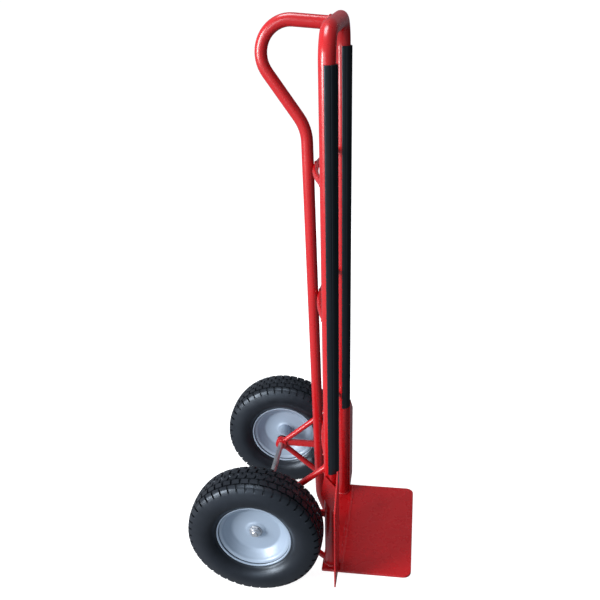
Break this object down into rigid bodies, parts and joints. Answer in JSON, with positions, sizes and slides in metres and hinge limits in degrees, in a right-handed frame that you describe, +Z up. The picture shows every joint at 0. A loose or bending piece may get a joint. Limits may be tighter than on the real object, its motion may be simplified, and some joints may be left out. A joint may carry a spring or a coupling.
{
  "type": "hand truck",
  "caption": "Two-wheeled hand truck: tube frame with single-tube P handle, nose plate, axle brackets, block-tread tyres and front rub strips.",
  "frame": {"origin": "on the floor, under the nose plate, midway between the two uprights and in the plane of their axes", "axes": "+Z up; -Y towards the nose and the load; +Y towards the user; +X to the user's left, along the axle"},
  "size_m": [0.4252, 0.431, 1.0158],
  "materials": {
    "red_paint": "gloss powder coat",
    "rub_strip": "satin black plastic",
    "tyre": "moulded black tyre, block tread",
    "rim_paint": "silver grey paint",
    "zinc_steel": "bright zinc",
    "bearing_steel": "ground steel"
  },
  "bodies": {
    "frame": {"frame_loop": "red_paint", "nose_plate": "red_paint", "handle_tube": "red_paint", "cross_bar_upper": "red_paint", "cross_bar_middle": "red_paint", "cross_bar_lower": "red_paint", "axle": "zinc_steel", "rub_strip_right": "rub_strip", "wheel_guard_right": "red_paint", "axle_eye_right": "red_paint", "upper_strut_right": "red_paint", "lower_strut_right": "red_paint", "middle_strut_right": "red_paint", "spacer_right": "zinc_steel", "washer_right": "zinc_steel", "lock_nut_right": "zinc_steel", "bearing_inner_rings_right": "bearing_steel", "rub_strip_left": "rub_strip", "wheel_guard_left": "red_paint", "axle_eye_left": "red_paint", "upper_strut_left": "red_paint", "lower_strut_left": "red_paint", "middle_strut_left": "red_paint", "spacer_left": "zinc_steel", "washer_left": "zinc_steel", "lock_nut_left": "zinc_steel", "bearing_inner_rings_left": "bearing_steel"},
    "right_wheel": {"tyre_right": "tyre", "rim_outer_right": "rim_paint", "rim_inner_right": "rim_paint", "hub_right": "rim_paint", "bearing_outer_rings_right": "bearing_steel", "bearing_balls_right": "bearing_steel"},
    "left_wheel": {"tyre_left": "tyre", "rim_outer_left": "rim_paint", "rim_inner_left": "rim_paint", "hub_left": "rim_paint", "bearing_outer_rings_left": "bearing_steel", "bearing_balls_left": "bearing_steel"}
  },
  "joints": [
    {"name": "right_wheel_spin", "type": "hinge", "parent": "frame", "child": "right_wheel", "pos_m": [-0.1704, 0.139, 0.13], "axis": [1, 0, 0], "continuous": true},
    {"name": "left_wheel_spin", "type": "hinge", "parent": "frame", "child": "left_wheel", "pos_m": [0.1704, 0.139, 0.13], "axis": [1, 0, 0], "continuous": true}
  ]
}
